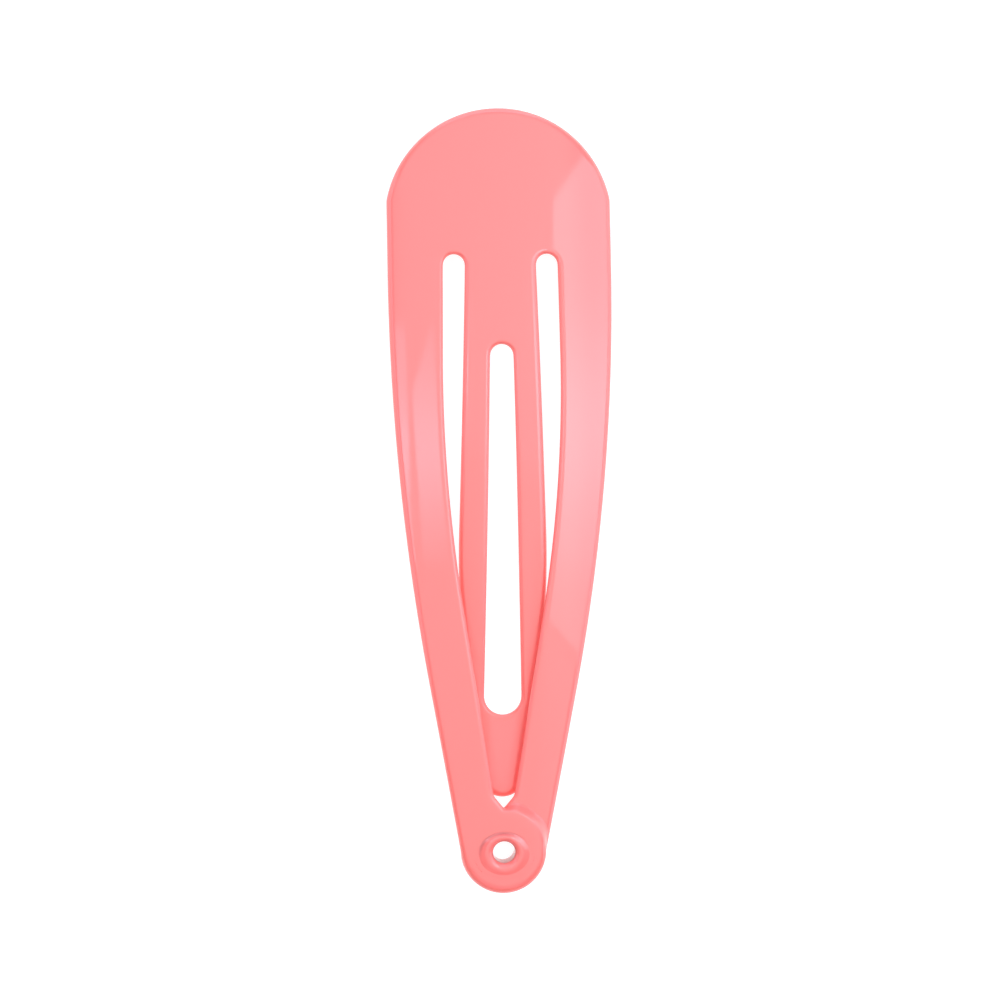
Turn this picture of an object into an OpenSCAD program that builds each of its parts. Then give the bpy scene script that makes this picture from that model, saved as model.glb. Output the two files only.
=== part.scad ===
// Snap hair clip, lying on its two ends with its domed face up.
// X runs across the clip, Y along it with the broad head at +Y, and Z up.
// The origin is on the surface under the middle of the clip.

/* [Sheet] */
// Thickness of the enamelled spring steel
sheet_t = 0.6; // [0.4:0.05:0.8]
// Radius of the arch along the clip
arch_r = 115; // [95:1:150]
// Place of the arch's top along the clip, from its middle
arch_top_y = -0.6; // [-2:0.1:2]
// Radius of the crown across the clip, at the arch's top
crown_r = 28; // [24:0.5:45]

/* [Outline] */
// Length over both ends
clip_l = 50; // [46:1:60]
// Width over the straight sides
clip_w = 14.28; // [13:0.02:16]
// How far the head's arc would stand outside the straight sides
head_bulge = 0.13; // [0:0.01:0.3]
// Radius of the round tip
tip_r = 2.71; // [2.3:0.01:3.2]
// From the head's end to the place where the legs turn inwards
bow_y = 23.8; // [22:0.1:27]
// Length of the bow on a leg's outer edge, each way from there
bow_outer = 13.4; // [8:0.1:14]
// Length of the bow on a leg's inner edge, each way from there
bow_inner = 8.2; // [5:0.1:12]
// Width of a leg there, between the corners that its two bows round off
leg_w = 3.3; // [2.8:0.02:3.7]

/* [Slots and notch] */
// From the head's end to the centres of the slots' round ends
head_l = 10.04; // [9:0.02:12]
// Width of the two slots beside the tongue
slot_w = 1.38; // [1.1:0.02:1.7]
// Width of the notch where the legs meet
notch_w = 1.36; // [1:0.02:1.6]
// Depth of the notch
notch_d = 0.8; // [0.5:0.02:1.2]

/* [Tongue] */
// Width of the tongue at its root
tongue_root_w = 4.54; // [4:0.02:5]
// Width of the tongue at the corners that its sides' bows round off
tongue_w = 5.8; // [5.2:0.02:6.4]
// From the head's end to those corners
tongue_wide_y = 31; // [28:0.5:33]
// Length of the bow on the tongue's side, each way from its corner
tongue_bow = 4; // [2:0.5:6]
// Radius of the tongue's round end
tongue_end_r = 1.5; // [1.2:0.05:2]
// From the notch to the tongue's end
tongue_back = 0.7; // [0.4:0.02:1.5]
// From the head's end to the centre of the window's upper end
window_y = 15.82; // [14.5:0.02:18]
// Radius of the window's upper end
window_top_r = 0.74; // [0.5:0.02:0.9]
// From the tongue's end to the centre of the window's lower end
window_back = 6.44; // [5:0.02:9]
// Radius of the window's lower end
window_low_r = 1.18; // [0.9:0.02:1.3]

/* [Eyelet] */
// Radius of the hole through the eyelet
bore_r = 0.7; // [0.5:0.02:0.8]
// Wall of the eyelet's barrel
barrel_wall = 0.2; // [0.15:0.01:0.3]
// Outer radius of the eyelet's rolled rims
rim_r = 1.35; // [1.2:0.01:1.6]

/* [Fits] */
// Gap between the barrel and the legs' holes
barrel_gap = 0.03; // [0.02:0.01:0.06]
// Gap between a rolled rim and the leg that it holds
rim_gap = 0.02; // [0.02:0.01:0.05]
// Gap between the two legs where they lap at the tip
lap_gap = 0.03; // [0.02:0.01:0.06]
// Gap between the head and a leg at the line where the clip bends open
root_gap = 0.05; // [0.03:0.01:0.08]
// Gap between the tongue and the lower leg where that leg's edge crosses over it
tongue_gap = 0.1; // [0.05:0.01:0.3]

/* [Hidden] */
$fn = 200;
enamel = "lightsalmon";
rim_enamel = "salmon";
rows = 40;                              // rows of the sheet's profile along a piece
bow_rows = 10;                          // straight steps in a bow of the outline
spare = 1;                              // how far a blank stands past its cut edges
cut_h = 60;                             // height of what cuts the outlines
tuck = 0.005;                           // how far straight edges end inside a round
half_t = sheet_t / 2;
half_w = clip_w / 2;
half_l = clip_l / 2;

// Places along Y, from the middle of the clip
head_r = half_w + head_bulge;
head_c = half_l - head_r;
root_y = half_l - head_l;
bow_c = half_l - bow_y;
eyelet_y = tip_r - half_l;
notch_y = eyelet_y + tip_r;
tongue_end_y = notch_y + tongue_back;
tongue_end_c = tongue_end_y + tongue_end_r;
tongue_wide_c = half_l - tongue_wide_y;
window_top_c = half_l - window_y;
window_low_c = tongue_end_y + window_back;

// Places along X
slot_in = tongue_root_w / 2;
slot_out = slot_in + slot_w;
slot_c = (slot_in + slot_out) / 2;
leg_in = half_w - leg_w;
notch_in = notch_w / 2;

// Smooth rise from 0 to 1, level at both ends, as a clamped spring bends
function ease(u) = let (v = min(max(u, 0), 1)) v * v * (3 - 2 * v);

// Heights of the middle of the sheet over the crown's axis line, less the crown's radius
function arch(y) = sqrt(pow(arch_r, 2) - pow(y - arch_top_y, 2)) - arch_r;
function leg_way(y) = ease((root_y - y) / (root_y - notch_y));
function tongue_way(y) = ease((root_y - y) / (root_y - tongue_end_y));

// Where a leg's inner edge crosses over the widest of the tongue
cross_share = (leg_in - tongue_w / 2) / (leg_in - notch_in);
cross_y = bow_c + cross_share * (notch_y + notch_d - bow_c);

// The lapped legs part by half of this each way, and the tongue drops clear of the lower
lap = sheet_t + lap_gap;
tongue_drop = (sheet_t + lap / 2 * leg_way(cross_y) + tongue_gap) / tongue_way(cross_y);
upper_leg = function(y) arch(y) + lap / 2 * leg_way(y);
lower_leg = function(y) arch(y) - lap / 2 * leg_way(y);
tongue = function(y) arch(y) - tongue_drop * tongue_way(y);

// The eyelet holds both legs, and its rims clear their crowned faces
rim_roll = (rim_r - bore_r) / 2;
rim_c = bore_r + rim_roll;
rim_sag = crown_r - sqrt(pow(crown_r, 2) - pow(rim_r, 2)) + arch_r - sqrt(pow(arch_r, 2) - pow(rim_r, 2));
stack_high = lap / 2 + half_t + rim_gap;
stack_low = -stack_high - rim_sag;
eyelet_lean = asin((arch_top_y - eyelet_y) / arch_r);

// Underside of the sheet of that height, at x and y
function underside(height, x, y) =
    sqrt(pow(crown_r + height(y) - half_t / cos(asin((y - arch_top_y) / arch_r)), 2) - x * x) - crown_r;

// Undersides all round an end's rim, to find the lowest
function rim_undersides(height, centre, radius, side) = [
    for (a = [0:5:90]) underside(height, radius * sin(a), centre + side * radius * cos(a))
];
eyelet_low = arch(eyelet_y) + stack_low * cos(eyelet_lean) - rim_roll - rim_c * sin(eyelet_lean);
rest_h = -min(concat(
    rim_undersides(tongue, head_c, head_r, 1),
    rim_undersides(tongue, tongue_end_c, tongue_end_r, -1),
    rim_undersides(lower_leg, eyelet_y, tip_r, -1),
    [eyelet_low]
));

// Rows of a blank's profile, thickened square to its slope
function faces(height, from_y, to_y, side) = [
    for (i = [0:rows])
        let (y = from_y + (to_y - from_y) * i / rows, step = 0.01)
        let (slope = (height(y + step) - height(y - step)) / (2 * step))
        [crown_r + height(y) + side * half_t * norm([1, slope]), y]
];
function reversed(points) = [for (i = [len(points) - 1:-1:0]) points[i]];

// Smooth bow that rounds the corner at b, starting that far before it and ending that far after
function bow(a, b, c, far) =
    let (start = b + far * (a - b) / norm(a - b), end = b + far * (c - b) / norm(c - b))
    [for (i = [0:bow_rows]) let (u = i / bow_rows) pow(1 - u, 2) * start + 2 * u * (1 - u) * b + u * u * end];

// Where a line from that point touches a round on the Y axis, on its +X side
function touch(from, centre_y, radius) =
    let (centre = [0, centre_y], away = from - centre, r = radius - tuck)
    let (turn = atan2(away.y, away.x) - acos(r / norm(away)))
    centre + r * [cos(turn), sin(turn)];

// Symmetrical outline, from the points up its +X side
module both_sides(points) {
    polygon(concat(points, [for (p = reversed(points)) [-p.x, p.y]]));
}

// Outline around two rounds on the Y axis
module tapered_2d(low_y, low_r, high_y, high_r) {
    lean = asin((low_r - high_r) / (high_y - low_y));
    side = [cos(lean), sin(lean)];
    both_sides([[0, low_y] + (low_r - tuck) * side, [0, high_y] + (high_r - tuck) * side]);
    translate([0, high_y]) circle(r = high_r);
    translate([0, low_y]) circle(r = low_r);
}

module tongue_2d() {
    corner = [tongue_w / 2, tongue_wide_c];
    end = touch(corner, tongue_end_c, tongue_end_r);
    root = [slot_in, root_y];
    difference() {
        union() {
            both_sides(concat([end], bow(end, corner, root, tongue_bow), [root, root + [0, spare]]));
            translate([0, tongue_end_c]) circle(r = tongue_end_r);
        }
        tapered_2d(window_low_c, window_low_r, window_top_c, window_top_r);
    }
}

module head_2d() {
    difference() {
        intersection() {
            translate([-half_w, root_y]) square([clip_w, head_l + spare]);
            union() {
                translate([0, head_c]) circle(r = head_r);
                translate([-head_r, root_y - spare]) square([2 * head_r, head_c - root_y + spare]);
            }
        }
        for (side = [-1, 1]) translate([side * slot_c, root_y]) circle(r = slot_w / 2);
    }
}

module leg_2d() {
    tip = touch([half_w, bow_c], eyelet_y, tip_r);
    notch = [notch_in, notch_y + notch_d];
    top_y = root_y - root_gap;
    polygon(concat(
        [[slot_out, top_y]], bow([slot_out, root_y], [leg_in, bow_c], notch, bow_inner),
        [notch, [0, notch_y], [0, eyelet_y], tip],
        bow(tip, [half_w, bow_c], [half_w, root_y], bow_outer), [[half_w, top_y]]
    ));
    translate([0, eyelet_y]) circle(r = tip_r);
}

// Crowned blank of sheet between two places along the clip, with its outline cut from above
module pressed(height, from_y, to_y) {
    crown_a = asin((half_w + spare) / (crown_r - spare));
    intersection() {
        translate([0, 0, -crown_r]) rotate([0, -90, -90]) rotate([0, 0, -crown_a])
            rotate_extrude(angle = 2 * crown_a) polygon(concat(
                faces(height, from_y, to_y, 1), reversed(faces(height, from_y, to_y, -1))
            ));
        translate([0, 0, -cut_h / 2]) linear_extrude(cut_h) children();
    }
}

// Frame of the eyelet: its axis stands square on the arch at the tip
module at_eyelet() {
    translate([0, eyelet_y, arch(eyelet_y)]) rotate([eyelet_lean, 0, 0]) children();
}

module leg(height) {
    difference() {
        pressed(height, -half_l - spare, root_y + spare) leg_2d();
        at_eyelet() cylinder(r = bore_r + barrel_wall + barrel_gap, h = cut_h, center = true);
    }
}

module head_and_tongue() {
    color(enamel) pressed(tongue, tongue_end_y - spare, half_l + spare) {
        head_2d();
        tongue_2d();
    }
}

module left_leg() {
    color(enamel) mirror([1, 0, 0]) leg(upper_leg);
}

module right_leg() {
    color(enamel) leg(lower_leg);
}

// Half-round lip at the barrel's end
module rim_2d() {
    intersection() {
        translate([rim_c, 0]) circle(r = rim_roll);
        translate([bore_r, 0]) square([2 * rim_roll, rim_roll]);
    }
}

module eyelet() {
    color(rim_enamel) at_eyelet() rotate_extrude() {
        polygon([
            [bore_r, stack_low], [bore_r + barrel_wall, stack_low],
            [bore_r + barrel_wall, stack_high], [bore_r, stack_high],
        ]);
        translate([0, stack_high]) rim_2d();
        translate([0, stack_low]) mirror([0, 1]) rim_2d();
    }
}

translate([0, 0, rest_h]) {
    head_and_tongue();
    left_leg();
    right_leg();
    eyelet();
}
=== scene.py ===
"""Snap hair clip: one pressed sheet of spring steel and a rolled eyelet, under glossy salmon enamel.

The clip lies on its two ends with its domed face up. X runs across it, Y along it towards the broad head, and Z up
from the surface. Sizes are in millimetres, and each finished mesh is in metres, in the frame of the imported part.
"""

import logging
import math
from dataclasses import dataclass, field
from enum import IntEnum

import bpy
import numpy as np
from mathutils import Euler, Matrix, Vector
from mathutils.geometry import delaunay_2d_cdt

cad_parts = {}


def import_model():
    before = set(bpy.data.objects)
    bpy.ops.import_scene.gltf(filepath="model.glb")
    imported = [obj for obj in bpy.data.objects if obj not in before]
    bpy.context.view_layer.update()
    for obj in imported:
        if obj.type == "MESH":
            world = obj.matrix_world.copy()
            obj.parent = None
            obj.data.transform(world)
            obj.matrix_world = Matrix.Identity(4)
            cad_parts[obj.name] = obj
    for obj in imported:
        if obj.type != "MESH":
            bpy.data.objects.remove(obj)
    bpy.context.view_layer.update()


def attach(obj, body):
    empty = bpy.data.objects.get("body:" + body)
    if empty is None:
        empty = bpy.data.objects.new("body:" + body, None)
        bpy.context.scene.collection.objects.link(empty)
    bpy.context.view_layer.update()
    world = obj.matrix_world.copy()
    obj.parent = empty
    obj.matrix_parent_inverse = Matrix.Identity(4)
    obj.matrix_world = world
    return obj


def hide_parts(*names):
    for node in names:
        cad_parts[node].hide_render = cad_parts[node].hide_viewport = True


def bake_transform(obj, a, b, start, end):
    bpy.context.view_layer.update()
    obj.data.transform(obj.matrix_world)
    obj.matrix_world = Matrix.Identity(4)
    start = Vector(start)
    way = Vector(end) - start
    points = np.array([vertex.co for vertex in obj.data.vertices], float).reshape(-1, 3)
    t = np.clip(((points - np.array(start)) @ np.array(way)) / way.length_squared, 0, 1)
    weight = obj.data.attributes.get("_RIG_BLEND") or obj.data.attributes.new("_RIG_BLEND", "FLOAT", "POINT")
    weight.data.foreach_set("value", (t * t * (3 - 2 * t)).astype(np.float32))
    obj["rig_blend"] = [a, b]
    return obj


Array = np.ndarray
MM = 0.001
BLOCK = 2000  # points that are measured against a line at one time
MIX_A, MIX_B, MIXED = 6, 7, 2  # numbers of a mix node's sockets for colours
log = logging.getLogger("snap_hair_clip")


class Form(IntEnum):
    """The part of the one sheet that a point belongs to. The legs' values are their sides along X."""

    LEFT_LEG = -1
    HEAD_AND_TONGUE = 0
    RIGHT_LEG = 1


class Face(IntEnum):
    """Side of the sheet: the domed face or the hollow one."""

    UNDER = -1
    DOMED = 1


def linear_rgba(hex_colour: str) -> tuple[float, float, float, float]:
    """Turns an sRGB hex colour into the linear values that a shader takes.

    Args:
        hex_colour: Colour such as "#f49a9c".

    Returns:
        Linear red, green and blue with an alpha of 1.
    """
    srgb = np.array([int(hex_colour[i : i + 2], 16) for i in (1, 3, 5)]) / 255
    linear = np.where(srgb <= 0.04045, srgb / 12.92, ((srgb + 0.055) / 1.055) ** 2.4)
    return (*map(float, linear), 1.0)


def smooth_step(u: Array | float) -> Array:
    """Rise from 0 to 1, level at both ends: v squared times (3 - 2v), with v held between 0 and 1."""
    v = np.clip(u, 0, 1)
    return v * v * (3 - 2 * v)


def line(a: Array, b: Array, step: float) -> Array:
    """Points from a towards b, b left out: a + (b - a) u.

    Args:
        a: Start.
        b: End.
        step: Spacing of the points.

    Returns:
        The points, one a row.
    """
    u = np.arange(0, 1, min(step / np.linalg.norm(b - a), 0.5))[:, None]
    return a + (b - a) * u


def arc(centre: Array, radius: float, start: float, end: float, step: float) -> Array:
    """Points round a centre, the last left out: centre + radius times (cos, sin) of the angle.

    Args:
        centre: Centre of the arc.
        radius: Its radius.
        start: Angle that it starts at, in radians.
        end: Angle that it ends at, smaller than start where it runs clockwise.
        step: Spacing of the points.

    Returns:
        The points, one a row.
    """
    count = max(4, math.ceil(abs(end - start) * radius / step))
    angle = np.linspace(start, end, count, endpoint=False)
    return centre + radius * np.column_stack([np.cos(angle), np.sin(angle)])


def parabola(a: Array, b: Array, c: Array, u: Array) -> Array:
    """Curve from a to c that starts towards b and arrives from it: (1-u)^2 a + 2u(1-u) b + u^2 c."""
    return (1 - u) ** 2 * a + 2 * u * (1 - u) * b + u**2 * c


def bow(a: Array, b: Array, c: Array, far: float, step: float) -> Array:
    """Line from a towards b, a parabola that rounds the corner there, and a line on to c, which is left out.

    Args:
        a: Start.
        b: The corner.
        c: End.
        far: Length of the parabola each way from the corner.
        step: Spacing of the points.

    Returns:
        The points, one a row.
    """
    start = b + far * (a - b) / np.linalg.norm(a - b)
    end = b + far * (c - b) / np.linalg.norm(c - b)
    u = np.linspace(0, 1, math.ceil(2 * far / step))[:, None]
    return np.vstack([line(a, start, step), parabola(start, b, end, u), line(end, c, step)])


def inside(points: Array, loop: Array) -> Array:
    """Which points a closed line goes round: those whose ray along +X crosses it an odd number of times.

    Args:
        points: Points, one a row.
        loop: The closed line's points.

    Returns:
        True or False for each point.
    """
    after = np.roll(loop, -1, axis=0)
    rise = np.where(after[:, 1] == loop[:, 1], 1, after[:, 1] - loop[:, 1])
    found = []
    for block in np.array_split(points, 1 + len(points) // BLOCK):
        x, y = block[:, 0, None], block[:, 1, None]
        spans = (loop[:, 1] > y) != (after[:, 1] > y)
        meets = loop[:, 0] + (y - loop[:, 1]) * (after[:, 0] - loop[:, 0]) / rise
        found.append((spans & (x < meets)).sum(axis=1) % 2 == 1)
    return np.concatenate(found)


def in_metal(points: Array, loops: list[Array]) -> Array:
    """Which points lie inside the first loop and outside all the others."""
    return inside(points, loops[0]) & ~np.any([inside(points, loop) for loop in loops[1:]], axis=0)


def nearest(points: Array, others: Array) -> tuple[Array, Array]:
    """Finds the nearest of the others to each point.

    Args:
        points: Points, one a row.
        others: Points to measure to.

    Returns:
        Distance and index of the nearest, for each point.
    """
    distances, indices = [], []
    for block in np.array_split(points, 1 + len(points) // BLOCK):
        away = np.linalg.norm(block[:, None] - others[None], axis=2)
        indices.append(away.argmin(axis=1))
        distances.append(away.min(axis=1))
    return np.concatenate(distances), np.concatenate(indices)


def make_mesh(name: str, points_mm: Array, quads: Array, triangles: Array | None = None) -> bpy.types.Object:
    """Puts a finished piece's points and faces into a smooth-shaded mesh at the origin.

    Args:
        name: Name of the piece.
        points_mm: Its points in millimetres, one a row.
        quads: Four point indices a row.
        triangles: Three point indices a row, if it has any.

    Returns:
        The new object.
    """
    mesh = bpy.data.meshes.new(name)
    faces = quads.tolist() + ([] if triangles is None else triangles.tolist())
    mesh.from_pydata((points_mm * MM).tolist(), [], faces)
    mesh.polygons.foreach_set("use_smooth", np.ones(len(mesh.polygons), bool))
    mesh.update()
    piece = bpy.data.objects.new(name, mesh)
    bpy.context.scene.collection.objects.link(piece)
    return piece


def set_values(piece: bpy.types.Object, name: str, values: Array) -> None:
    """Gives each point of a piece's mesh a value that its material reads by name."""
    made = piece.data.attributes.new(name, "FLOAT", "POINT")
    made.data.foreach_set("value", values.reshape(-1).astype(np.float32))


def band_quads(rows: int, columns: int, first: int = 0, closed_rows: bool = False) -> Array:
    """Faces of a grid of points whose columns close on themselves.

    Args:
        rows: Number of rows.
        columns: Number of columns.
        first: Index of the grid's first point.
        closed_rows: Whether the last row joins the first too.

    Returns:
        Four point indices a row: (i, j), (i, j+1), (i+1, j+1), (i+1, j).
    """
    i = np.arange(rows if closed_rows else rows - 1)[:, None]
    j = np.arange(columns)[None, :]
    below, above = i * columns, (i + 1) % rows * columns
    after = (j + 1) % columns
    return first + np.stack([below + j, below + after, above + after, above + j], axis=-1).reshape(-1, 4)


@dataclass(frozen=True)
class Spring:
    """Sizes of the pressed spring, as in the part's source, and the form of its middle surface."""

    rest_h: float = 3.25536
    sheet_t: float = 0.6
    arch_r: float = 115.0
    arch_top_y: float = -0.6
    crown_r: float = 28.0
    clip_l: float = 50.0
    clip_w: float = 14.28
    head_bulge: float = 0.13
    tip_r: float = 2.71
    bow_y: float = 23.8
    bow_outer: float = 13.4
    bow_inner: float = 8.2
    leg_w: float = 3.3
    head_l: float = 10.04
    slot_w: float = 1.38
    notch_w: float = 1.36
    notch_d: float = 0.8
    tongue_root_w: float = 4.54
    tongue_w: float = 5.8
    tongue_wide_y: float = 31.0
    tongue_bow: float = 4.0
    tongue_end_r: float = 1.5
    tongue_back: float = 0.7
    window_y: float = 15.82
    window_top_r: float = 0.74
    window_back: float = 6.44
    window_low_r: float = 1.18
    lap_gap: float = 0.03
    tongue_gap: float = 0.1
    bend_run: float = 20.0

    @property
    def half_t(self) -> float:
        """Half the sheet's thickness."""
        return self.sheet_t / 2

    @property
    def half_w(self) -> float:
        """Half the clip's width."""
        return self.clip_w / 2

    @property
    def half_l(self) -> float:
        """Half the clip's length."""
        return self.clip_l / 2

    @property
    def root_y(self) -> float:
        """Place of the line through the slots' round ends, where the clip bends open."""
        return self.half_l - self.head_l

    @property
    def bow_c(self) -> float:
        """Place of the corners that the legs' bows round off."""
        return self.half_l - self.bow_y

    @property
    def eyelet_y(self) -> float:
        """Place of the centre of the round tip."""
        return self.tip_r - self.half_l

    @property
    def notch_y(self) -> float:
        """Place of the apex of the notch where the legs meet."""
        return self.eyelet_y + self.tip_r

    @property
    def tongue_end_y(self) -> float:
        """Place of the tongue's end."""
        return self.notch_y + self.tongue_back

    @property
    def lean(self) -> float:
        """Lean of the eyelet's axis towards the tip, square to the arch there."""
        return math.asin((self.arch_top_y - self.eyelet_y) / self.arch_r)

    @property
    def lap(self) -> float:
        """Height between the middles of the two legs where they lap."""
        return self.sheet_t + self.lap_gap

    def way(self, y: Array | float, end_y: float) -> Array:
        """How far along its rise or fall a leg or the tongue is: a smooth step from the root to end_y."""
        return smooth_step((self.root_y - y) / (self.root_y - end_y))

    @property
    def tongue_drop(self) -> float:
        """Drop of the tongue's end that takes it clear of the lower leg where that leg's edge crosses over it.

        Returns:
            The room needed under that place, thickness and gap included, over the tongue's way there.
        """
        leg_in = self.half_w - self.leg_w
        share = (leg_in - self.tongue_w / 2) / (leg_in - self.notch_w / 2)
        cross_y = self.bow_c + share * (self.notch_y + self.notch_d - self.bow_c)
        room = self.sheet_t + self.lap / 2 * self.way(cross_y, self.notch_y) + self.tongue_gap
        return float(room / self.way(cross_y, self.tongue_end_y))

    def height(self, y: Array | float, form: Array | Form) -> Array:
        """Height of the middle surface over the crown's axis line, less the crown's radius.

        An arc of the arch's radius. The left leg rises from it by half the lap times its way to the notch, the right
        leg falls by as much, and the tongue falls by its drop times its way to its end.

        Args:
            y: Places along the clip.
            form: The Form that each belongs to.

        Returns:
            The heights.
        """
        arch = np.sqrt(self.arch_r**2 - (y - self.arch_top_y) ** 2) - self.arch_r
        leg = -form * self.lap / 2 * self.way(y, self.notch_y)
        tongue = -self.tongue_drop * self.way(y, self.tongue_end_y)
        return arch + np.where(form == Form.HEAD_AND_TONGUE, tongue, leg)

    def lift(self, plan: Array, form: Array | Form, level: Array | float) -> Array:
        """Lifts plan points onto the crowned and arched sheet.

        The radius from the crown's axis is crown_r + height + level times half the thickness, squared to the slope
        along the clip. The height there is sqrt(radius^2 - x^2) - crown_r + rest_h.

        Args:
            plan: X and Y of each point, in rows, or in rows by columns.
            form: The Form that each belongs to.
            level: Place in the thickness, from -1 on the hollow face to 1 on the domed one.

        Returns:
            Z of each point.
        """
        x, y, step = plan[..., 0], plan[..., 1], 0.01
        slope = (self.height(y + step, form) - self.height(y - step, form)) / (2 * step)
        radius = self.crown_r + self.height(y, form) + level * self.half_t * np.sqrt(1 + slope**2)
        return np.sqrt(radius**2 - x**2) - self.crown_r + self.rest_h


@dataclass
class Contour:
    """One closed cut edge of the sheet, seen from above, with the metal on the left of its direction of travel."""

    points: Array
    forms: Array

    @classmethod
    def traced(cls, runs: list[tuple[Array, Form]], spacing: float, softness: float) -> "Contour":
        """Joins runs of points into a closed line of even spacing, with corners as soft as the enamel leaves them.

        The softening damps the line's Fourier terms by exp(-(k softness)^2 / 2), k in radians per millimetre, which
        is a Gaussian blur along the edge.

        Args:
            runs: Points of each stretch, and the Form that it bounds.
            spacing: Spacing of the points that come back.
            softness: Length over which a corner is rounded.

        Returns:
            The contour.
        """
        raw = np.concatenate([points for points, _ in runs])
        labels = np.concatenate([np.full(len(points), int(form)) for points, form in runs])
        ring = np.vstack([raw, raw[:1]])
        along = np.concatenate([[0], np.cumsum(np.linalg.norm(np.diff(ring, axis=0), axis=1))])
        count = round(along[-1] / spacing)
        places = np.linspace(0, along[-1], count, endpoint=False)
        even = np.interp(places, along, ring[:, 0]) + 1j * np.interp(places, along, ring[:, 1])
        wave = 2 * np.pi * np.fft.fftfreq(count, along[-1] / count)
        soft = np.fft.ifft(np.fft.fft(even) * np.exp(-((wave * softness) ** 2) / 2))
        forms = labels[np.searchsorted(along, places, side="right") - 1]
        return cls(np.column_stack([soft.real, soft.imag]), forms)

    @property
    def inward(self) -> Array:
        """Unit direction into the metal at each point.

        Returns:
            The tangent between the points before and after, turned left, one a row.
        """
        tangent = np.roll(self.points, -1, axis=0) - np.roll(self.points, 1, axis=0)
        tangent /= np.linalg.norm(tangent, axis=1)[:, None]
        return np.column_stack([-tangent[:, 1], tangent[:, 0]])


@dataclass(frozen=True)
class SheetDetail:
    """How finely the sheet's mesh follows its form, and how round the enamel leaves its edges, in millimetres.

    pool_y counts from the eyelet's centre, and lap_y and under_y from the notch. hair is in halves of the thickness.
    """

    round_in: float = 0.38
    onset: float = 0.7
    pool_in: float = 0.14
    pool_y: float = 1.5
    pool_run: float = 3.0
    lap_in: float = 0.15
    lap_run: float = 0.5
    lap_share: float = 0.85
    lap_full: float = 0.3
    lap_y: float = 0.1
    under_y: float = 1.0
    hair: float = 0.03
    corner: float = 0.1
    spacing: float = 0.15
    quarter_rows: int = 10
    border: float = 0.05
    grid: float = 0.42
    clear: float = 0.24
    part_legs: float = 9.0
    least_area: float = 1e-6
    merge: float = 1e-7
    hole_r: float = 1.0


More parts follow.
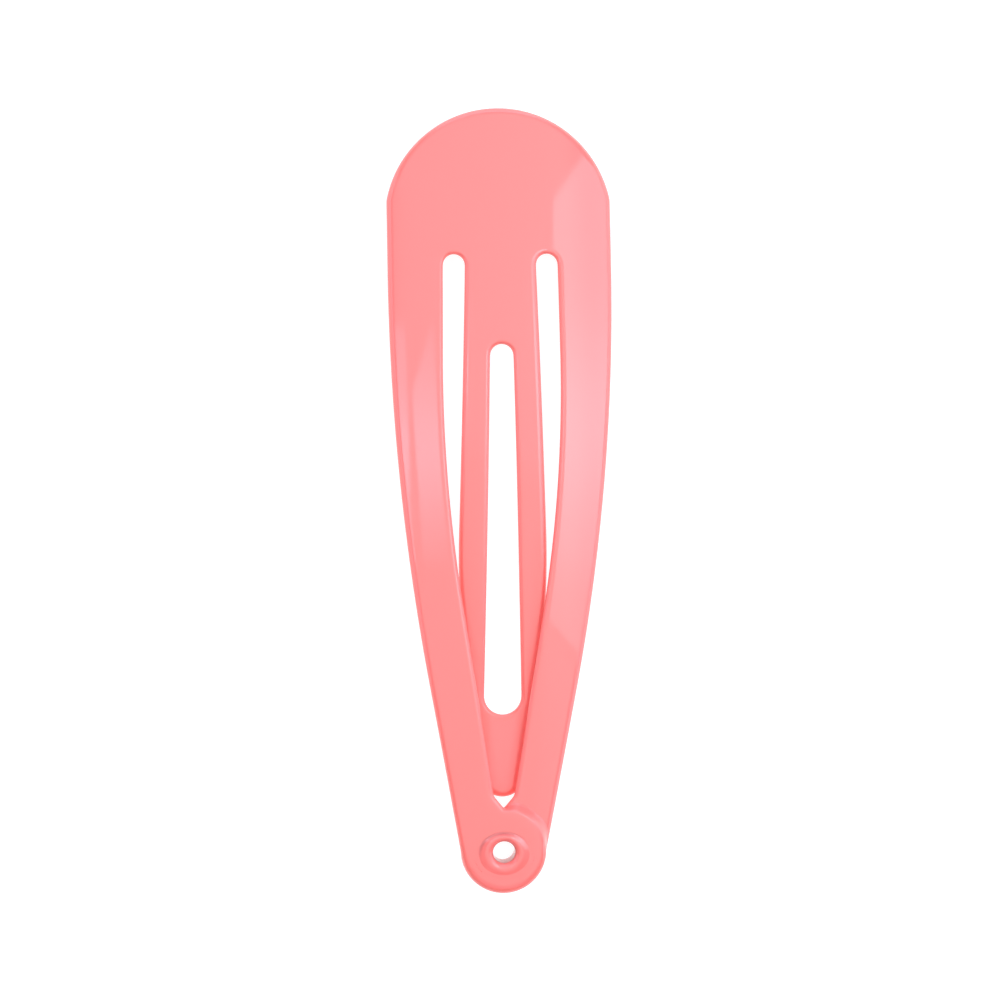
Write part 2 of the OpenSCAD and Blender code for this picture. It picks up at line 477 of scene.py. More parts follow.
@dataclass
class PressedSheet:
    """The one-piece sheet: head, slotted tongue and two legs, whose round tips lap and are joined by enamel.

    Once it is built, forms holds the Form of every point of its mesh.
    """

    spring: Spring
    detail: SheetDetail = SheetDetail()
    forms: Array = field(init=False)

    def outer_contour(self) -> Contour:
        """Traces the sheet's outer edge, slots included, once round with the metal on the left.

        Returns:
            The contour, up the right side, over the head, down the left leg, round the tongue and down the right leg.
        """
        s, step = self.spring, self.detail.spacing / 2
        slot_in = s.tongue_root_w / 2
        slot_out = slot_in + s.slot_w
        head_r = s.half_w + s.head_bulge
        head_c = np.array([0, s.half_l - head_r])
        shoulder = math.acos(s.half_w / head_r)
        tip_c = np.array([0, s.eyelet_y])
        root, bend = np.array([s.half_w, s.root_y]), np.array([s.half_w, s.bow_c])
        tip, tip_turn = self.touch(bend, tip_c, s.tip_r)
        inner_root = np.array([slot_out, s.root_y])
        inner_bend = np.array([s.half_w - s.leg_w, s.bow_c])
        corner = np.array([s.notch_w / 2, s.notch_y + s.notch_d])
        apex = np.array([0, s.notch_y])
        end_c = np.array([0, s.tongue_end_y + s.tongue_end_r])
        wide = np.array([s.tongue_w / 2, s.half_l - s.tongue_wide_y])
        end, end_turn = self.touch(wide, end_c, s.tongue_end_r)
        tongue_root = np.array([slot_in, s.root_y])
        slot_c = np.array([(slot_in + slot_out) / 2, s.root_y])
        slot_r = s.slot_w / 2

        # Right leg from the root down its inner edge, round its tip and up its outer edge
        leg = np.vstack([
            bow(inner_root, inner_bend, corner, s.bow_inner, step), line(corner, apex, step),
            arc(tip_c, s.tip_r, math.pi / 2, 2 * math.pi + tip_turn, step),
            bow(tip, bend, root, s.bow_outer, step),
        ])
        tongue_side = bow(end, wide, tongue_root, s.tongue_bow, step)
        head = np.vstack([
            line(root, head_c + [s.half_w, head_r * math.sin(shoulder)], step),
            arc(head_c, head_r, shoulder, math.pi - shoulder, step),
            line(head_c + [-s.half_w, head_r * math.sin(shoulder)], root * [-1, 1], step),
        ])
        other = np.array([-1, 1])
        tongue = [
            arc(slot_c * other, slot_r, math.pi, 0, step),
            tongue_side[::-1] * other,
            arc(end_c, s.tongue_end_r, math.pi - end_turn, 2 * math.pi + end_turn, step),
            tongue_side,
            arc(slot_c, slot_r, math.pi, 0, step),
        ]
        runs = [
            (head, Form.HEAD_AND_TONGUE), (leg[::-1] * other, Form.LEFT_LEG),
            (np.vstack(tongue), Form.HEAD_AND_TONGUE), (leg, Form.RIGHT_LEG),
        ]
        return Contour.traced(runs, self.detail.spacing, self.detail.corner)

    @staticmethod
    def touch(start: Array, centre: Array, radius: float) -> tuple[Array, float]:
        """Where a line from a point touches a round on its +X side: the radius there is square to the line.

        Args:
            start: Point that the line comes from.
            centre: Centre of the round.
            radius: Its radius.

        Returns:
            The touching point, and its angle round the centre.
        """
        away = start - centre
        turn = math.atan2(away[1], away[0]) - math.acos(radius / np.linalg.norm(away))
        return centre + radius * np.array([math.cos(turn), math.sin(turn)]), turn

    def window_contour(self) -> Contour:
        """Traces the tongue's tapered window clockwise: two rounds and the straight lines that touch both.

        Returns:
            The contour, from the left of the upper round.
        """
        s, step = self.spring, self.detail.spacing / 2
        low = np.array([0, s.tongue_end_y + s.window_back])
        high = np.array([0, s.half_l - s.window_y])
        lean = math.asin((s.window_low_r - s.window_top_r) / (high[1] - low[1]))
        side = np.array([math.cos(lean), math.sin(lean)])
        left = np.array([-1, 1])
        loop = np.vstack([
            arc(high, s.window_top_r, math.pi - lean, lean, step),
            line(high + s.window_top_r * side, low + s.window_low_r * side, step),
            arc(low, s.window_low_r, lean, -math.pi - lean, step),
            line(low + s.window_low_r * side * left, high + s.window_top_r * side * left, step),
        ])
        return Contour.traced([(loop, Form.HEAD_AND_TONGUE)], self.detail.spacing, self.detail.corner)

    def hole_contour(self, form: Form) -> Contour:
        """Traces a leg's hole for the eyelet clockwise, a circle about the axis at that leg's height.

        Args:
            form: The leg.

        Returns:
            The contour.
        """
        s = self.spring
        centre = np.array([0, s.eyelet_y + form * s.lap / 2 * math.tan(s.lean)])
        circle = arc(centre, self.detail.hole_r, 2 * math.pi, 0, self.detail.spacing / 2)
        return Contour.traced([(circle, form)], self.detail.spacing, 0)

    def parted(self, plan: Array, forms: Array) -> Array:
        """Plan with the legs moved apart by part_legs times their way, so that nothing overlaps anything."""
        apart = self.detail.part_legs * self.spring.way(plan[:, 1], self.spring.notch_y)
        return plan + np.column_stack([forms * apart, 0 * forms])

    def round_in(self, y: Array) -> Array:
        """How far in from a cut edge its rounding reaches: further at the tip, where the enamel pooled as it hung."""
        d = self.detail
        return d.round_in + d.pool_in * smooth_step((self.spring.eyelet_y + d.pool_y - y) / d.pool_run)

    def rim(self, contour: Contour, outer: Contour) -> tuple[Array, Array, Array]:
        """Carries the enamelled edge's profile along a contour.

        The profile is half an oval, round_in deep and the sheet's thickness high: at angle v from the edge's middle
        it lies round_in (1 - (cos v)^onset) inside the contour, at level sin v. An onset of 1 would be an ellipse, and
        a smaller one lets the curve set in more gently on the face. Where a leg's round tip laps the other leg, the
        half that faces that leg runs out onto it instead, in a smooth step from face to face that starts lap_in inside
        the edge. A border row inside each end of the profile keeps the faces' shading flat up to it.

        Args:
            contour: The cut edge.
            outer: The sheet's outer edge, which the lapped legs are read from.

        Returns:
            Points, forms and how near the edge each point is from 0 to 1, all as rows by columns.
        """
        s, d = self.spring, self.detail
        angle = np.linspace(-math.pi / 2, math.pi / 2, 2 * d.quarter_rows + 1)[:, None]
        inward = contour.inward
        round_in = self.round_in(contour.points[:, 1])
        inset = round_in * (1 - np.maximum(np.cos(angle), 0) ** d.onset)
        plan = contour.points + inset[..., None] * inward
        round_rim = np.dstack([plan, s.lift(plan, contour.forms, np.sin(angle))])
        lapped_share = np.zeros(len(inward))
        for form in (Form.LEFT_LEG, Form.RIGHT_LEG) if contour is outer else ():
            run, share = self.lap_run(outer, form)
            facing = -form  # the left leg's domed half and the right leg's hollow half run out
            u = 1 - facing * angle / (math.pi / 2)
            out = d.lap_in - (d.lap_in + run) * np.minimum(u, 2 - u)
            lap_plan = contour.points + out[..., None] * inward
            high, back = (s.lift(lap_plan, contour.forms, side) for side in (facing, -facing))
            foot = self.other_face(lap_plan, outer, form)
            fall = smooth_step(u)
            ran = np.where(u <= 1, high + (foot - high) * fall, foot + (back - foot) * (u - 1))
            lapped = np.dstack([lap_plan, ran])
            round_rim = round_rim + share[:, None] * (lapped - round_rim)
            lapped_share = lapped_share + share
        edge_plan = contour.points + (round_in + d.border)[:, None] * inward
        ends = [np.column_stack([edge_plan, s.lift(edge_plan, contour.forms, side)])[None] for side in Face]
        points = np.vstack([ends[0], round_rim, ends[1]])
        near = np.concatenate([[0], np.cos(angle[:, 0]), [0]])[:, None] * (1 - lapped_share)
        return points, np.broadcast_to(contour.forms, points.shape[:2]), near

    def lap_run(self, outer: Contour, form: Form) -> tuple[Array, Array]:
        """How far the enamel runs out from a leg's edge onto the leg that it laps.

        Args:
            outer: The sheet's outer edge.
            form: The leg whose edge it is.

        Returns:
            The run at each point, and the share of the lapped profile there: a smooth step of the depth inside the
            other leg's outline.
        """
        d = self.detail
        loop = outer.points[outer.forms == -form]
        lapping = inside(outer.points, loop) & (outer.forms == form)
        lapping &= outer.points[:, 1] < self.spring.notch_y + d.lap_y
        depth = np.where(lapping, nearest(outer.points, loop)[0], 0)
        return np.minimum(d.lap_run, d.lap_share * depth), smooth_step(depth / d.lap_full)

    def other_face(self, plan: Array, outer: Contour, form: Form) -> Array:
        """Height of the other leg's face where a leg laps it, its round edge included, and a hair inside it.

        Args:
            plan: X and Y as rows by columns.
            outer: The sheet's outer edge.
            form: The leg that laps the other.

        Returns:
            The heights, as rows by columns.
        """
        loop = outer.points[outer.forms == -form]
        flat = plan.reshape(-1, 2)
        near_tip = flat[:, 1] < self.spring.notch_y + self.detail.under_y
        depth = np.zeros(len(flat))
        depth[near_tip] = np.where(inside(flat[near_tip], loop), nearest(flat[near_tip], loop)[0], 0)
        part = np.clip(depth / self.round_in(flat[:, 1]), 0, 1)
        level = form * self.detail.hair - form * np.sqrt(1 - (1 - part) ** (2 / self.detail.onset))
        return self.spring.lift(flat, Form(-form), level).reshape(plan.shape[:2])

    def skin(self, borders: list[Array], border_forms: Array) -> tuple[Array, Array, Array]:
        """Fills the plan between the rims' borders with an even triangle grid.

        The grid and its triangles are worked out with the legs parted, where the sheet overlaps nothing, and the
        same triangles serve the domed and the hollow face.

        Args:
            borders: X and Y of each rim's border row.
            border_forms: Forms of all their points, in the same order.

        Returns:
            X and Y of the points inside, their forms, and the triangles over borders and inside points together.
        """
        d = self.detail
        wide = self.parted(np.vstack(borders), border_forms)
        cuts = np.cumsum([len(border) for border in borders])[:-1]
        loops = np.split(wide, cuts)
        low, high = wide.min(axis=0), wide.max(axis=0)
        rows = np.arange(low[1], high[1], d.grid * math.sqrt(0.75))
        columns = np.arange(low[0], high[0], d.grid)
        x, y = np.meshgrid(columns, rows)
        x = x + np.where(np.arange(len(rows)) % 2, d.grid / 2, 0)[:, None]
        grid = np.column_stack([x.ravel(), y.ravel()])
        grid = grid[in_metal(grid, loops)]
        away, which = nearest(grid, wide)
        grid, which = grid[away > d.clear], which[away > d.clear]
        forms = np.where(grid[:, 1] < self.spring.root_y, border_forms[which], int(Form.HEAD_AND_TONGUE))
        everything = np.vstack([wide, grid])
        before = np.arange(len(wide))
        edges = np.column_stack([before, np.concatenate([np.roll(ring, -1) for ring in np.split(before, cuts)])])
        made = delaunay_2d_cdt(everything.tolist(), edges.tolist(), [], 0, d.merge)
        came_from = np.array([source[0] for source in made[3]])
        triangles = came_from[np.array(made[2])]
        corners = everything[triangles]
        area = np.cross(corners[:, 1] - corners[:, 0], corners[:, 2] - corners[:, 0]) / 2
        triangles[area < 0] = triangles[area < 0][:, ::-1]
        keep = in_metal(corners.mean(axis=1), loops) & (np.abs(area) > d.least_area)
        return self.parted(grid, -forms), forms, triangles[keep]

    def build(self) -> bpy.types.Object:
        """Makes the whole sheet as one closed mesh: rims round every cut edge, and a face on each side between them.

        Returns:
            The sheet, with a near_edge attribute that is 1 on the cut edges and 0 on the faces.
        """
        outer = self.outer_contour()
        contours = [outer, self.window_contour(), self.hole_contour(Form.LEFT_LEG), self.hole_contour(Form.RIGHT_LEG)]
        points, forms, near, quads, borders, first = [], [], [], [], [], 0
        under, domed = [], []
        for contour in contours:
            rim_points, rim_forms, rim_near = self.rim(contour, outer)
            rows, columns = rim_forms.shape
            quads.append(band_quads(rows, columns, first))
            under.append(first + np.arange(columns))
            domed.append(first + (rows - 1) * columns + np.arange(columns))
            borders.append(rim_points[-1, :, :2])
            points.append(rim_points.reshape(-1, 3))
            forms.append(rim_forms.reshape(-1))
            near.append(rim_near.reshape(-1))
            first += rows * columns
        border_forms = np.concatenate([contour.forms for contour in contours])
        plan, inner_forms, triangles = self.skin(borders, border_forms)
        faces = []
        for side, ring in zip(Face, (under, domed)):
            index = np.concatenate([*ring, first + np.arange(len(plan))])
            points.append(np.column_stack([plan, self.spring.lift(plan, inner_forms, side)]))
            forms.append(inner_forms)
            near.append(np.zeros(len(plan)))
            faces.append(index[triangles][:, ::side])
            first += len(plan)
        sheet = make_mesh("sheet", np.vstack(points), np.vstack(quads), np.vstack(faces))
        set_values(sheet, "near_edge", np.concatenate(near))
        self.forms = np.concatenate(forms)
        return sheet

    def join(self, sheet: bpy.types.Object) -> None:
        """Lets the legs bend away from the head over their bend_run, while the tongue stays with the head.

        Args:
            sheet: The built sheet.
        """
        s = self.spring
        hinge_z = float(s.height(s.root_y, Form.HEAD_AND_TONGUE) + s.rest_h)
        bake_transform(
            sheet, "base", "frame",
            start=(0, s.root_y * MM, hinge_z * MM), end=(0, (s.root_y - s.bend_run) * MM, hinge_z * MM),
        )
        bend = sheet.data.attributes["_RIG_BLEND"]
        turn = np.zeros(len(self.forms), np.float32)
        bend.data.foreach_get("value", turn)
        turn[self.forms == Form.HEAD_AND_TONGUE] = 0
        bend.data.foreach_set("value", turn)
        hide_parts("head_and_tongue", "left_leg", "right_leg")


@dataclass
class Eyelet:
    """Rolled steel eyelet that pins the lapped tips: a barrel with a rounded lip on each side, thick with enamel."""

    spring: Spring
    bore_r: float = 0.7
    barrel_r: float = 0.9
    rim_gap: float = 0.02
    rim_r: float = 1.35
    lip_in: float = 0.36
    lip_in_more: float = 0.05
    bore_deep: float = 0.38
    lip_out: float = 0.2
    lip_deep: float = 0.13
    lip_softer: float = 0.03
    lip_end: float = 0.8
    pressed: float = 0.23
    foot_r: float = 1.38
    spread: float = 0.22
    spread_by: float = 3.0
    drag: float = 0.08
    sunk: float = 0.035
    skirt_w: float = 0.35
    skirt_h: float = 0.001
    tuck: float = 0.003
    bore_fade: float = 0.07
    # crease_in to crease_run place the painted shade round the foot of the domed lip
    crease_in: float = 0.03
    crease_w: float = 0.09
    crease_turn: float = 1.9
    crease_from: float = 0.1
    crease_run: float = 0.9
    crest_rows: int = 10
    slope_rows: int = 12
    columns: int = 144

    @property
    def seat_h(self) -> float:
        """Height of the arch where the axis crosses it, below its top: arch_r (cos lean - 1)."""
        return self.spring.arch_r * (math.cos(self.spring.lean) - 1)

    def lip(self, angle: Array, face: Face) -> Array:
        """Profile of one rounded lip for every angle round the axis, from the bore outwards to its foot.

        The lip is a quarter of an ellipse on the bore's side, lip_in wide and bore_deep high, and part of another on
        the other side, lip_out wide and lip_deep high, down to the angle lip_end. There it goes over into a parabola,
        which ends level on the crowned face, and whose corner is where the ellipse's tangent meets that level. From
        this foot a skirt of enamel skirt_w wide sinks by tuck into the face, whose radii there are the arch's along
        the clip and the crown's, less the drop of the arch and over the cosine of the lean, across it.

        Across the clip, where the sheet curves away, the lip is wider by spread at its foot and by a spread_by-th of
        that at its top. The press that set the eyelet made the domed face's lip lower and flatter by pressed. It
        leaned towards the tip: in proportion to one minus the sine of the angle the lip there is lower, by sunk, and
        softer, by lip_softer. In proportion to minus the sine it is wider, by lip_in_more and, at its foot, drag.

        Args:
            angle: Angles round the axis.
            face: Side of the clip that the lip is on.

        Returns:
            Radius and height along the axis, as rows by columns by two.
        """
        s = self.spring
        stack = s.lap / 2 + s.half_t + self.rim_gap
        rim_roll = (self.rim_r - self.bore_r) / 2
        sag = s.crown_r - math.sqrt(s.crown_r**2 - self.rim_r**2) + s.arch_r - math.sqrt(s.arch_r**2 - self.rim_r**2)
        tipward = 1 - np.sin(angle) if face is Face.DOMED else 0 * angle
        top = stack + rim_roll + (sag if face is Face.UNDER else -self.pressed) - self.sunk * tipward
        lip_in = self.lip_in + self.lip_in_more * (tipward - 1)
        crest = self.bore_r + lip_in
        turn = np.linspace(math.pi, math.pi / 2, self.crest_rows)[:, None]
        inner_r = crest + lip_in * np.cos(turn)
        inner_h = top - self.bore_deep * (1 - np.sin(turn)) + 0 * angle
        wider = self.spread * np.cos(angle) ** 2
        foot_r = self.foot_r + wider + (self.drag * (tipward - 1) if face is Face.DOMED else self.pressed)
        lip_out = self.lip_out + wider / self.spread_by + self.lip_softer * tipward
        lip_deep = self.lip_deep + (self.pressed if face is Face.UNDER else 0) - self.lip_softer * tipward
        u = np.linspace(0, 1, self.slope_rows)[1:, None]
        turn = math.pi / 2 + (self.lip_end - math.pi / 2) * u
        outer_r = crest + lip_out * np.cos(turn)
        outer_h = top - lip_deep * (1 - np.sin(turn)) + 0 * angle
        crown = (s.crown_r + self.seat_h + face * (s.lap / 2 + s.half_t)) / math.cos(s.lean)
        bend = np.cos(angle) ** 2 / (2 * crown) + np.sin(angle) ** 2 / (2 * s.arch_r)
        face_h = s.lap / 2 * math.cos(s.lean) + s.half_t + self.skirt_h
        foot_h = face_h - face * foot_r**2 * bend
        slope = lip_deep / lip_out / math.tan(self.lip_end)
        corner_r = np.minimum(outer_r[-1] + (outer_h[-1] - foot_h) / slope, foot_r)
        foot_line_r = parabola(outer_r[-1], corner_r, foot_r, u)
        foot_line_h = parabola(outer_h[-1], foot_h, foot_h, u)
        u = np.linspace(0, 1, self.crest_rows)[1:, None]
        skirt_r = foot_r + self.skirt_w * u
        skirt_h = face_h - face * skirt_r**2 * bend - self.tuck * smooth_step(u)
        radius = np.vstack([inner_r, outer_r, foot_line_r, skirt_r])
        return np.dstack([radius, face * np.vstack([inner_h, outer_h, foot_line_h, skirt_h])])

    def build(self) -> bpy.types.Object:
        """Turns the closed profile of bore, lips and barrel round the leaning axis.

        Its thin_coat attribute is 1 in the bore. Its crease_shade attribute is painted shade at the foot of the domed
        lip:
        a bell, exp(-(d / crease_w)^2 / 2), d away from the circle crease_in inside that foot, which fades round the
        axis away from crease_turn, the side where the painted shade is darkest.

        Returns:
            The eyelet.
        """
        s = self.spring
        angle = np.linspace(0, 2 * math.pi, self.columns, endpoint=False)[None, :]
        upper, lower = self.lip(angle, Face.DOMED), self.lip(angle, Face.UNDER)
        barrel = [np.dstack([0 * angle + self.barrel_r, 0 * angle + h]) for h in (s.half_t, -s.half_t)]
        profile = np.vstack([upper, *barrel, lower[::-1]])
        radius, along = profile[..., 0], profile[..., 1]
        x, across = radius * np.cos(angle), radius * np.sin(angle)
        y = across * math.cos(s.lean) - along * math.sin(s.lean)
        z = across * math.sin(s.lean) + along * math.cos(s.lean)
        points = np.dstack([x, y + s.eyelet_y, z + self.seat_h + s.rest_h]).reshape(-1, 3)
        quads = band_quads(len(profile), self.columns, closed_rows=True)[:, ::-1]
        eyelet = make_mesh("eyelet_enamelled", points, quads)
        inside_bore = smooth_step((self.bore_r + self.bore_fade - radius) / self.bore_fade)
        inside_bore[len(upper) : len(upper) + len(barrel)] = 1
        set_values(eyelet, "thin_coat", inside_bore)
        # painted shade at the foot of the domed lip, darkest on the side that crease_turn points to
        crease_r = radius[len(upper) - self.crest_rows] - self.crease_in
        crease_shade = np.exp(-(((radius - crease_r) / self.crease_w) ** 2) / 2)
        crease_shade *= smooth_step((np.cos(angle - self.crease_turn) + self.crease_from) / self.crease_run)
        crease_shade[len(upper) :] = 0
        set_values(eyelet, "crease_shade", crease_shade)
        return eyelet

    def join(self, eyelet: bpy.types.Object) -> None:
        """Fixes the eyelet to the legs and lets it stand for the part's own.

        Args:
            eyelet: The built eyelet.
        """
        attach(eyelet, "frame")
        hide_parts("eyelet")


def add_node(
    material: bpy.types.Material, kind: str, settings: dict | None = None, links: dict | None = None
) -> bpy.types.Node:
    """Adds one node to a material.

    Args:
        material: Material that it goes into.
        kind: Blender's name for the node, less the ShaderNode that it starts with.
        settings: Values for its sockets, by name or number, or for its own properties.
        links: Sockets to feed, by name or number, each with the output that feeds it.

    Returns:
        The node.
    """
    node = material.node_tree.nodes.new("ShaderNode" + kind)
    for key, value in (settings or {}).items():
        if isinstance(key, str) and key not in node.inputs and hasattr(node, key):
            setattr(node, key, value)
        else:
            node.inputs[key].default_value = value
    for key, output in (links or {}).items():
        material.node_tree.links.new(output, node.inputs[key])
    return node


def new_material(name: str) -> bpy.types.Material:
    """Makes a node material with no nodes yet.

    Args:
        name: Its name.

    Returns:
        The material.
    """
    material = bpy.data.materials.new(name)
    material.use_nodes = True
    material.node_tree.nodes.clear()
    return material


@dataclass(frozen=True)
class StovedEnamel:
    """Salmon stoving enamel, dipped and baked: a hard clear gloss over an even body colour.

    The gloss has the long, low ripple of a coat that flowed before it set, and the colour drifts a little over
    cloud_mm with the coat's depth. It is deeper where the coat is thick on the cut edges and greyer where it is thin
    in the bore. Its crease_shade colour is painted shade, darker round the foot of the eyelet's lip.
    """

    name: str
    body: str = "#f67770"
    thick: str = "#f5756c"
    thin: str = "#cb756d"
    # painted shade for the foot of the eyelet's lip, not a colour of the enamel itself
    crease_shade: str = "#c9625e"
    body_roughness: float = 0.42
    gloss_roughness: float = 0.035
    ior: float = 1.5
    specular: float = 0.3
    cloud_mm: float = 4.0
    cloud_gain: float = 0.35
    cloud_base: float = -0.1
    ripple_mm: float = 1.6
    ripple_high_mm: float = 0.0012

    def material(self) -> bpy.types.Material:
        """Builds the enamel's nodes.

        Returns:
            The material.
        """
        made = new_material(self.name)
        place = add_node(made, "TexCoord")
        near = add_node(made, "Attribute", {"attribute_name": "near_edge"})
        cloud = add_node(
            made, "TexNoise", {"Scale": 1 / (self.cloud_mm * MM), "Detail": 1.0}, {"Vector": place.outputs["Object"]}
        )
        depth = add_node(
            made, "Math", {"operation": "MULTIPLY_ADD", 1: self.cloud_gain, 2: self.cloud_base},
            {0: cloud.outputs["Fac"]},
        )
        total = add_node(
            made, "Math", {"operation": "ADD", "use_clamp": True}, {0: near.outputs["Fac"], 1: depth.outputs[0]}
        )
        colour = add_node(
            made, "Mix", {"data_type": "RGBA", MIX_A: linear_rgba(self.body), MIX_B: linear_rgba(self.thick)},
            {0: total.outputs[0]},
        )
        # thin_coat is the coat's own thinner colour in the bore; crease_shade paints shade round the eyelet's lip
        for name, tone in (("thin_coat", self.thin), ("crease_shade", self.crease_shade)):
            share = add_node(made, "Attribute", {"attribute_name": name})
            colour = add_node(
                made, "Mix", {"data_type": "RGBA", MIX_B: linear_rgba(tone)},
                {0: share.outputs["Fac"], MIX_A: colour.outputs[MIXED]},
            )
        ripple = add_node(
            made, "TexNoise", {"Scale": 1 / (self.ripple_mm * MM), "Detail": 2.0, "Roughness": 0.4},
            {"Vector": place.outputs["Object"]},
        )
        bump = add_node(
            made, "Bump", {"Strength": 1.0, "Distance": self.ripple_high_mm * MM}, {"Height": ripple.outputs["Fac"]}
        )
        shader = add_node(
            made, "BsdfPrincipled",
            {
                "Roughness": self.body_roughness, "IOR": self.ior, "Specular IOR Level": self.specular,
                "Coat Weight": 1.0, "Coat Roughness": self.gloss_roughness, "Coat IOR": self.ior,
            },
            {"Base Color": colour.outputs[MIXED], "Normal": bump.outputs[0], "Coat Normal": bump.outputs[0]},
        )
        add_node(made, "OutputMaterial", links={"Surface": shader.outputs[0]})
        return made

    def dress(self, piece: bpy.types.Object) -> None:
        """Puts the enamel on a piece."""
        piece.data.materials.append(self.material())


@dataclass(frozen=True)
class HotSpot:
    """Brighter middle that a lamp leaves in its patch of light: a bell of that glow round a direction."""

    x: float
    y: float
    wide: float
    high: float
    glow: float

    def over(self, flat: Array) -> Array:
        """Glow at X and Y of unit directions: glow times exp(-(dx/wide)^2 / 2 - (dy/high)^2 / 2)."""
        away = (flat - [self.x, self.y]) / [self.wide, self.high]
        return self.glow * np.exp(-(away**2).sum(axis=1) / 2)


@dataclass(frozen=True)
class LampPatch:
    """Patch of light that a lamp behind the tent throws on its cloth, four-sided as seen from the clip.

    Corners are the X and Y parts of the unit directions towards them, anticlockwise, and glow is the radiance that
    the patch adds at each.
    """

    name: str
    corners: tuple[tuple[float, float], ...]
    glow: tuple[float, ...]
    soft: float = 0.015
    hot: HotSpot | None = None
    tint: tuple[float, float, float] = (0.96, 0.92, 1.16)

    def light(self, flat: Array) -> Array:
        """Light that the patch adds to the cloth.

        It is the plane that fits the corners' glows, plus the hot spot, times a smooth step of how far inside each
        side the direction is.

        Args:
            flat: X and Y of unit directions, one a row.

        Returns:
            Linear red, green and blue, one a row.
        """
        corners = np.array(self.corners)
        side = np.roll(corners, -1, axis=0) - corners
        side /= np.linalg.norm(side, axis=1)[:, None]
        inward = np.column_stack([-side[:, 1], side[:, 0]])
        depth = ((flat[:, None] - corners) * inward).sum(axis=2)
        fade = smooth_step(depth / self.soft).prod(axis=1)
        plane = np.linalg.lstsq(np.column_stack([corners, np.ones(4)]), np.array(self.glow), rcond=None)[0]
        glow = np.column_stack([flat, np.ones(len(flat))]) @ plane + (self.hot.over(flat) if self.hot else 0)
        return (np.maximum(glow, 0) * fade)[:, None] * np.array(self.tint)


@dataclass(frozen=True)
class LightTent:
    """Dome of white diffusing cloth over the clip, with the patches of light that its lamps throw on it."""

    radius_mm: float = 3000.0
    cloth_glow: float = 0.11
    low_glow: float = 0.3
    low_out: float = 0.93
    low_run: float = 0.03
    inner_out: float = 0.004
    even_out: float = 0.8
    even_rings: int = 110
    rim_rings: int = 16
    columns: int = 540
    patches: tuple[LampPatch, ...] = (
        LampPatch(
            "right", ((0.27, -0.165), (0.678, -0.28), (0.718, 0.5), (0.315, 0.375)), (1.4, 2.2, 3.5, 2.3),
            soft=0.014, hot=HotSpot(0.458, 0.07, 0.4, 0.1, 2.4), tint=(0.96, 0.92, 1.05),
        ),
        LampPatch(
            "left", ((-0.3, -0.045), (-0.185, -0.045), (-0.245, 0.25), (-0.348, 0.165)), (0.35, 0.35, 0.85, 1.05),
            soft=0.012, hot=HotSpot(-0.272, 0.1, 0.2, 0.055, 2.2),
        ),
        LampPatch(
            "left_strip", ((-0.5, -0.06), (-0.325, -0.06), (-0.365, 0.24), (-0.5, 0.24)), (1.9, 1.9, 1.4, 1.4),
            soft=0.014, hot=HotSpot(-0.4, 0.095, 0.2, 0.04, 1.9),
        ),
        LampPatch(
            "head", ((-0.55, 0.0), (0.74, -0.18), (0.5, 0.7), (-0.5, 0.7)), (0.3, 0.4, 0.2, 0.1),
            soft=0.06, tint=(0.85, 0.86, 1.2),
        ),
        LampPatch("back", ((-0.6, 0.62), (0.6, 0.62), (0.45, 1.1), (-0.45, 1.1)), (3.4, 3.4, 1.0, 1.0), soft=0.16),
        LampPatch(
            "right_side", ((0.72, -0.45), (1.1, -0.5), (1.1, 0.75), (0.74, 0.52)), (2.8, 0.8, 0.8, 2.8), soft=0.08
        ),
        LampPatch(
            "left_side", ((-1.1, -0.4), (-0.6, -0.2), (-0.6, 0.52), (-1.1, 0.75)), (0.7, 1.9, 2.2, 0.7), soft=0.08
        ),
        LampPatch("low", ((0.16, -0.6), (0.65, -0.55), (0.65, -0.27), (0.26, -0.15)), (0, 0.1, 0.35, 0.35), soft=0.03),
        LampPatch("tip", ((-0.35, -0.8), (0.35, -0.8), (0.35, -0.48), (-0.35, -0.48)), (0.6,) * 4, soft=0.12),
        LampPatch("front", ((0, -0.362), (0.15, -0.362), (0.15, -0.285), (0, -0.285)), (0.8, 0.8, 0.45, 0.45)),
        LampPatch(
            "top", ((-0.5, -0.58), (0.5, -0.58), (0.5, 0.62), (-0.5, 0.62)), (1.57, 1.57, 1.34, 1.34),
            soft=0.15, tint=(1.0, 0.97, 0.95),
        ),
    )

    def build(self) -> None:
        """Sews the dome as rings of points round the clip, each with the colour of the light on it.

        A ring lies where the X and Y parts of its directions are a set distance from the middle. The distances are
        even up to even_out and then follow a sine to the floor, where the cloth's low_glow sets in.
        """
        rise = np.sin(np.linspace(0, math.pi / 2, self.rim_rings)[1:])
        even = np.linspace(self.inner_out, self.even_out, self.even_rings)
        out = np.concatenate([even, self.even_out + (1 - self.even_out) * rise])
        turn = np.linspace(0, 2 * math.pi, self.columns, endpoint=False)
        flat = np.stack([out[:, None] * np.cos(turn), out[:, None] * np.sin(turn)], axis=-1).reshape(-1, 2)
        up = np.sqrt(np.maximum(1 - (flat**2).sum(axis=1), 0))
        low = self.low_glow * smooth_step((np.linalg.norm(flat, axis=1) - self.low_out) / self.low_run)
        light = (self.cloth_glow + low)[:, None] + sum(patch.light(flat) for patch in self.patches)
        points = np.column_stack([flat, up]) * self.radius_mm
        tent = make_mesh("light_tent", points, band_quads(len(out), len(turn)))
        lit = tent.data.attributes.new("lamp_light", "FLOAT_COLOR", "POINT")
        lit.data.foreach_set("color", np.column_stack([light, np.ones(len(light))]).astype(np.float32).ravel())
        cloth = new_material("lit_tent_cloth")
        read = add_node(cloth, "Attribute", {"attribute_name": "lamp_light"})
        glow = add_node(cloth, "Emission", links={"Color": read.outputs["Color"]})
        add_node(cloth, "OutputMaterial", links={"Surface": glow.outputs[0]})
        cloth.cycles.emission_sampling = "NONE"  # a dome this wide is met often enough by chance
        tent.data.materials.append(cloth)


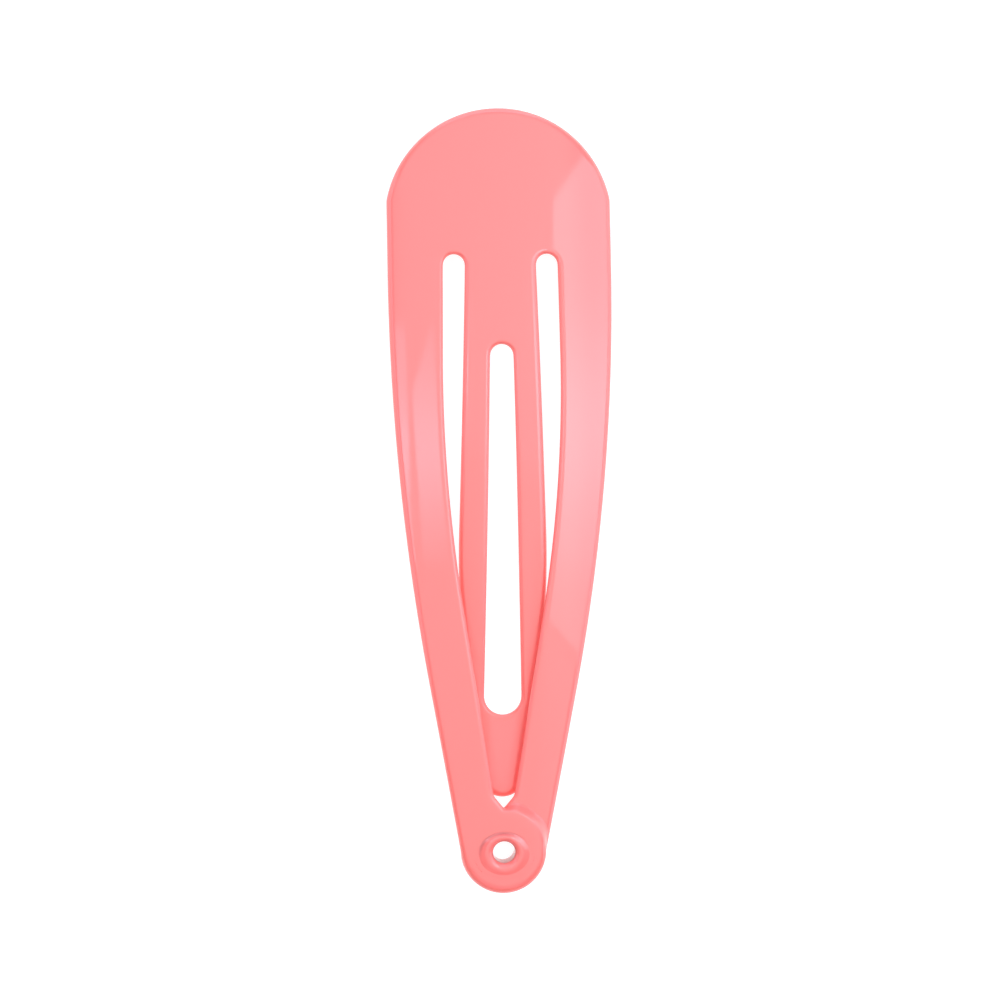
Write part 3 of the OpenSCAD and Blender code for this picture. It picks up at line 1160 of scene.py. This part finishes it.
@dataclass(frozen=True)
class Studio:
    """Plain white floor under a light tent, and a long lens almost straight above the clip."""

    floor_past: float = 1.02
    floor_glow: float = 0.85
    floor_paper: str = "#a0a0a0"
    picture_mm: float = 63.67
    camera_mm: float = 500.0
    look_mm: tuple[float, float, float] = (-0.041, 0.024, 0.8)
    lean_deg: float = 4.15
    roll_deg: float = -0.434

    def build(self, tent: LightTent) -> None:
        """Sets up the floor, the tent and the camera.

        Args:
            tent: The light tent that stands on the floor.
        """
        scene = bpy.context.scene
        scene.view_settings.view_transform = "Standard"
        world = bpy.data.worlds.new("room")
        scene.world = world
        world.use_nodes = True
        world.node_tree.nodes["Background"].inputs["Color"].default_value = (1, 1, 1, 1)
        world.cycles.sampling_method = "NONE"
        corners = tent.radius_mm * self.floor_past * np.array([[-1, -1, 0], [1, -1, 0], [1, 1, 0], [-1, 1, 0]])
        floor = make_mesh("floor", corners, np.array([[0, 1, 2, 3]]))
        paper = new_material("white_paper")
        shader = add_node(
            paper, "BsdfPrincipled",
            {
                "Base Color": linear_rgba(self.floor_paper), "Roughness": 0.9, "Specular IOR Level": 0.1,
                "Emission Color": (1, 1, 1, 1), "Emission Strength": self.floor_glow,
            },
        )
        add_node(paper, "OutputMaterial", links={"Surface": shader.outputs[0]})
        paper.cycles.emission_sampling = "NONE"
        floor.data.materials.append(paper)
        tent.build()
        self.camera()
        log.info("studio: floor, camera and tent, lit %s", ", ".join(patch.name for patch in tent.patches))

    def camera(self) -> None:
        """Hangs the camera so that the picture is picture_mm wide at look_mm, leaning lean_deg to the clip's left."""
        data = bpy.data.cameras.new("camera")
        data.sensor_width = 36.0
        data.lens = data.sensor_width * self.camera_mm / self.picture_mm
        data.clip_start, data.clip_end = 0.01, 10.0
        camera = bpy.data.objects.new("camera", data)
        turned = Euler((0, -math.radians(self.lean_deg), math.radians(self.roll_deg)))
        camera.rotation_euler = turned
        camera.location = (Vector(self.look_mm) + turned.to_matrix() @ Vector((0, 0, self.camera_mm))) * MM
        bpy.context.scene.collection.objects.link(camera)
        bpy.context.scene.camera = camera


def main() -> None:
    """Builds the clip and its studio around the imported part."""
    logging.basicConfig(level=logging.INFO, format="%(message)s")
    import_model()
    spring = Spring()
    for maker, enamel in ((PressedSheet(spring), "sheet_stoved_enamel"), (Eyelet(spring), "eyelet_stoved_enamel")):
        piece = maker.build()
        StovedEnamel(enamel).dress(piece)
        maker.join(piece)
        log.info("%s: %d points, %d faces", piece.name, len(piece.data.vertices), len(piece.data.polygons))
    Studio().build(LightTent())


if __name__ == "__main__":
    main()
